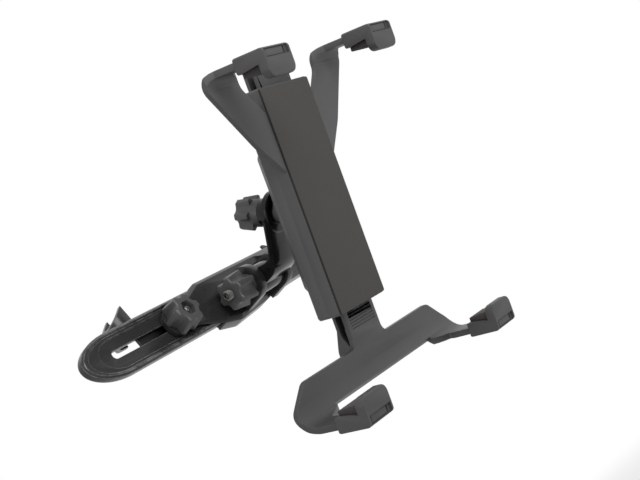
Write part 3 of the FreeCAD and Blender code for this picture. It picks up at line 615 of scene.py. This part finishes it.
def rounded(node, width):
    """Merged copy of a solid with its sharp edges rounded; the width is in millimetres."""
    piece = merged_copy(node)
    bevel = piece.modifiers.new("round", "BEVEL")
    bevel.width = width * MM
    bevel.segments = ROUND_STEPS
    bevel.limit_method = "ANGLE"
    bevel.angle_limit = ROUND_FROM
    bevel.use_clamp_overlap = True
    finish = finishes[finish_of[node]]
    piece.data.materials.clear()
    piece.data.materials.append(finish)
    piece.data.materials.append(finish)
    bevel.material = RIM_SLOT
    bpy.ops.object.modifier_apply(modifier=bevel.name)
    bpy.ops.object.shade_smooth_by_angle(angle=SMOOTH_BELOW)
    # Rim faces get the finish's lighter edge colour: rubbed wear and a painted highlight
    rim_mark = piece.data.attributes.new("rim", "FLOAT", "FACE")
    for face in piece.data.polygons:
        rim_mark.data[face.index].value = face.material_index
        face.material_index = 0
    settle(piece, node)
    return piece


# %% Round the pieces
EDGE_ROUND = {
    "post_base": 0.5, "slide_bar": 0.4, "swing_arm": 0.6, "rear_shell": 0.4, "front_shell": 0.5,
    "lower_bracket": 0.5, "clamp_knob": 0.5, "tilt_knob": 0.5, "swivel_knob": 0.5,
    "clamp_bolt": 0.5, "tilt_bolt": 0.2, "tilt_washer": 0.2, "clamp_plate": 0.3, "clamp_nut": 0.2,
    "shell_screws": 0.2, "ball_stud": 0.25,
}
CLIP_ROUND = 0.35
GRIP_ROUND = 0.6
for level in ("upper", "lower"):
    for side in ("left", "right"):
        EDGE_ROUND[level + "_" + side + "_clip"] = CLIP_ROUND
        EDGE_ROUND[level + "_" + side + "_grip"] = GRIP_ROUND
for node, width in EDGE_ROUND.items():
    piece = rounded(node, width)
    print(piece.name, len(piece.data.polygons), "faces")

# %% [markdown]
# ## Recesses of the screws
# Four screws hold the housing together from the back. Their solids have plain heads, because a driver's
# cross is too small to matter for fit. Each one is found in its quarter of the housing, and two thin bars
# are cut out of its head by Boolean modifiers.

# %% Cut the cross recesses
SLOT_LENGTH = 3.0 * MM
SLOT_WIDTH = 0.65 * MM
SLOT_DEPTH = 0.9 * MM
CROSS_TURNS = (30, 120)
screws = bpy.data.objects["shell_screws_rounded"]
screw_corners = in_axes("shell_screws")
head_face = min(corner.z for corner in screw_corners)


def screw_centre(side, level):
    """Middle of the head of the screw in one quarter of the housing, in the cradle's axes."""
    near = [corner for corner in screw_corners
            if (corner.x - pad_front.x) * side > 0 and (corner.y - pad_front.y) * level > 0]
    return Vector((sum(reach(near, 0)) / 2, sum(reach(near, 1)) / 2, head_face))


def cut_slot(centre, turn):
    """Cut one thin bar, turned by some degrees, out of a screw's head."""
    bpy.ops.object.select_all(action="DESELECT")
    bpy.ops.mesh.primitive_cube_add(size=1)
    bar = bpy.context.object
    turned = Matrix.Rotation(math.radians(turn), 4, "Z")
    stretched = Matrix.Diagonal((SLOT_LENGTH, SLOT_WIDTH, 2 * SLOT_DEPTH, 1))
    bar.matrix_world = cradle_axes @ Matrix.Translation(centre) @ turned @ stretched
    cut = screws.modifiers.new("recess", "BOOLEAN")
    cut.operation = "DIFFERENCE"
    cut.object = bar
    only(screws)
    bpy.ops.object.modifier_apply(modifier=cut.name)
    bpy.data.objects.remove(bar)


for side, level in ((-1, -1), (-1, 1), (1, -1), (1, 1)):
    for turn in CROSS_TURNS:
        cut_slot(screw_centre(side, level), turn)
bpy.ops.object.shade_smooth_by_angle(angle=SMOOTH_BELOW)
print("screws", len(screws.data.polygons), "faces")

# %% [markdown]
# ## Foam pad
# The pad is a sheet of foam stuck to the front of the housing. It could be left as its flat solid, but
# foam that is cut and stuck down is a little higher in the middle than along its cut edge. A box of its
# size has its four standing edges rounded, and then its front is inset again and again, each step a little
# higher. The sides take the darker finish of cut foam.

# %% Block out the pad
# Inset and rise of each step of the front, in millimetres
CROWN = [(0.15, 0.14), (0.25, 0.09), (0.8, 0.06)]
crown_height = sum(rise for inset, rise in CROWN) * MM
flat_thickness = pad_size[2] - crown_height
bpy.ops.object.select_all(action="DESELECT")
bpy.ops.mesh.primitive_cube_add(size=1)
pad = bpy.context.object
pad.name = "pad_cover"
bpy.ops.object.mode_set(mode="EDIT")
# The front of the cube comes to the origin first, and at the end it drops by what the crown adds
bpy.ops.transform.translate(value=(0, 0, -0.5))
bpy.ops.transform.resize(value=(pad_size[0], pad_size[1], flat_thickness), center_override=(0, 0, 0))
bpy.ops.transform.translate(value=(0, 0, -crown_height))
print("pad block", round(flat_thickness / MM, 2), "mm thick, crown", round(crown_height / MM, 2), "mm")

# %% Round its corners and raise its front
PAD_CORNER = 1.4 * MM
PAD_CORNER_STEPS = 5
PAD_SMOOTH_BELOW = math.radians(50)
FACING_FRONT = 0.9


def pick(kind, test):
    """Select the edges or faces of the pad that pass a test, and go on in edit mode."""
    bpy.ops.mesh.select_mode(type=kind)
    bpy.ops.mesh.select_all(action="DESELECT")
    bpy.ops.object.mode_set(mode="OBJECT")
    for element in pad.data.edges if kind == "EDGE" else pad.data.polygons:
        element.select = test(element)
    bpy.ops.object.mode_set(mode="EDIT")


def stands(edge):
    """True for an edge that runs from the back of the pad to its front."""
    first, second = (pad.data.vertices[index].co for index in edge.vertices)
    return abs(first.z - second.z) > flat_thickness / 2


def faces_front(face):
    """True for the pad's front face."""
    return face.normal.z > FACING_FRONT


pick("EDGE", stands)
bpy.ops.mesh.bevel(offset=PAD_CORNER, segments=PAD_CORNER_STEPS)
pick("FACE", faces_front)
for inset, rise in CROWN:
    bpy.ops.mesh.inset(thickness=inset * MM, depth=rise * MM)
bpy.ops.object.mode_set(mode="OBJECT")
bpy.ops.object.shade_smooth_by_angle(angle=PAD_SMOOTH_BELOW)
print("pad", len(pad.data.polygons), "faces")

# %% Stick the pad to the cradle
SIDE_BELOW = 0.5
pad.matrix_world = cradle_frame
only(pad)
bpy.ops.object.transform_apply(location=True, rotation=True, scale=True)
settle(pad, "foam_pad")
pad.data.materials.append(finishes["pad_edge"])
for face in pad.data.polygons:
    face.material_index = 1 if face.normal.dot(outward) < SIDE_BELOW else 0
print("pad rides on", body_of["foam_pad"])

# %% [markdown]
# ## Thread of the tilt bolt
# The end of the bolt stands out of the tilt knob, and its thread shows. The solid is a plain rod. A small
# triangle beside the axis is wound into a helix by a Screw modifier, and its two ends are closed. With no
# window open the rotate operator turns the other way, so a quarter turn with a minus sign is what points
# the triangle away from the axis. The helix ends just short of the knob.

# %% Shape the ridge
PITCH = 1.0 * MM
CREST = 0.3 * MM
RIDGE_RADIUS = 0.5 * MM
STEM_RADIUS = 3.0 * MM
QUARTER_TURN = math.pi / 2
bpy.ops.object.select_all(action="DESELECT")
bpy.ops.mesh.primitive_circle_add(vertices=3, radius=RIDGE_RADIUS, rotation=(QUARTER_TURN, 0, 0))
thread = bpy.context.object
thread.name = "tilt_bolt_thread"
bpy.ops.object.transform_apply(location=False, rotation=True, scale=False)
bpy.ops.object.mode_set(mode="EDIT")
bpy.ops.mesh.select_all(action="SELECT")
bpy.ops.transform.rotate(value=-QUARTER_TURN, orient_axis="Y", center_override=(0, 0, 0))
bpy.ops.transform.translate(value=(STEM_RADIUS + CREST - RIDGE_RADIUS, 0, 0))
bpy.ops.object.mode_set(mode="OBJECT")
print("crest at", round(max(vertex.co.x for vertex in thread.data.vertices) / MM, 2), "mm from the axis")

# %% Wind the thread
THREAD_STEPS = 40
# Keeps a gap of whole turns from being counted as one turn less
TURN_SLACK = 0.01
bolt_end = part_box("tilt_bolt")[0].x
knob_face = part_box("tilt_knob")[0].x
winding = thread.modifiers.new("wind", "SCREW")
winding.axis = "Z"
winding.angle = 2 * math.pi
winding.screw_offset = PITCH
winding.iterations = int((knob_face - bolt_end) / PITCH + TURN_SLACK) - 1
winding.steps = THREAD_STEPS
winding.render_steps = THREAD_STEPS
print("thread", winding.iterations, "turns")
bpy.ops.object.modifier_apply(modifier=winding.name)
bpy.ops.object.mode_set(mode="EDIT")
bpy.ops.mesh.select_mode(type="EDGE")
bpy.ops.mesh.select_all(action="DESELECT")
bpy.ops.mesh.select_non_manifold()
bpy.ops.mesh.edge_face_add()
bpy.ops.mesh.select_all(action="SELECT")
bpy.ops.mesh.normals_make_consistent(inside=False)
bpy.ops.object.mode_set(mode="OBJECT")

# %% Put the thread on the bolt
THREAD_SMOOTH_BELOW = math.radians(40)
washer_low, washer_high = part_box("tilt_washer")
axis_point = (washer_low + washer_high) / 2
thread_start = Matrix.Translation((bolt_end + PITCH / 2, axis_point.y, axis_point.z))
thread.matrix_world = thread_start @ Matrix.Rotation(QUARTER_TURN, 4, "Y")
only(thread)
bpy.ops.object.transform_apply(location=True, rotation=True, scale=True)
bpy.ops.object.shade_smooth_by_angle(angle=THREAD_SMOOTH_BELOW)
thread.data.materials.append(finishes["steel"])
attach(thread, body_of["tilt_bolt"])
print("thread", len(thread.data.polygons), "faces")

# %% [markdown]
# ## Pieces that stay as they are
# What is hidden inside, such as the spring over the rack and the insert in the knob, keeps its solid and
# only gets its finish.

# %% Finish the solids that stay
for node, solid in frame["nodes"].items():
    if node not in EDGE_ROUND and node != "foam_pad":
        solid.data.materials.clear()
        solid.data.materials.append(finishes[finish_of[node]])
        print(node, "keeps its solid")
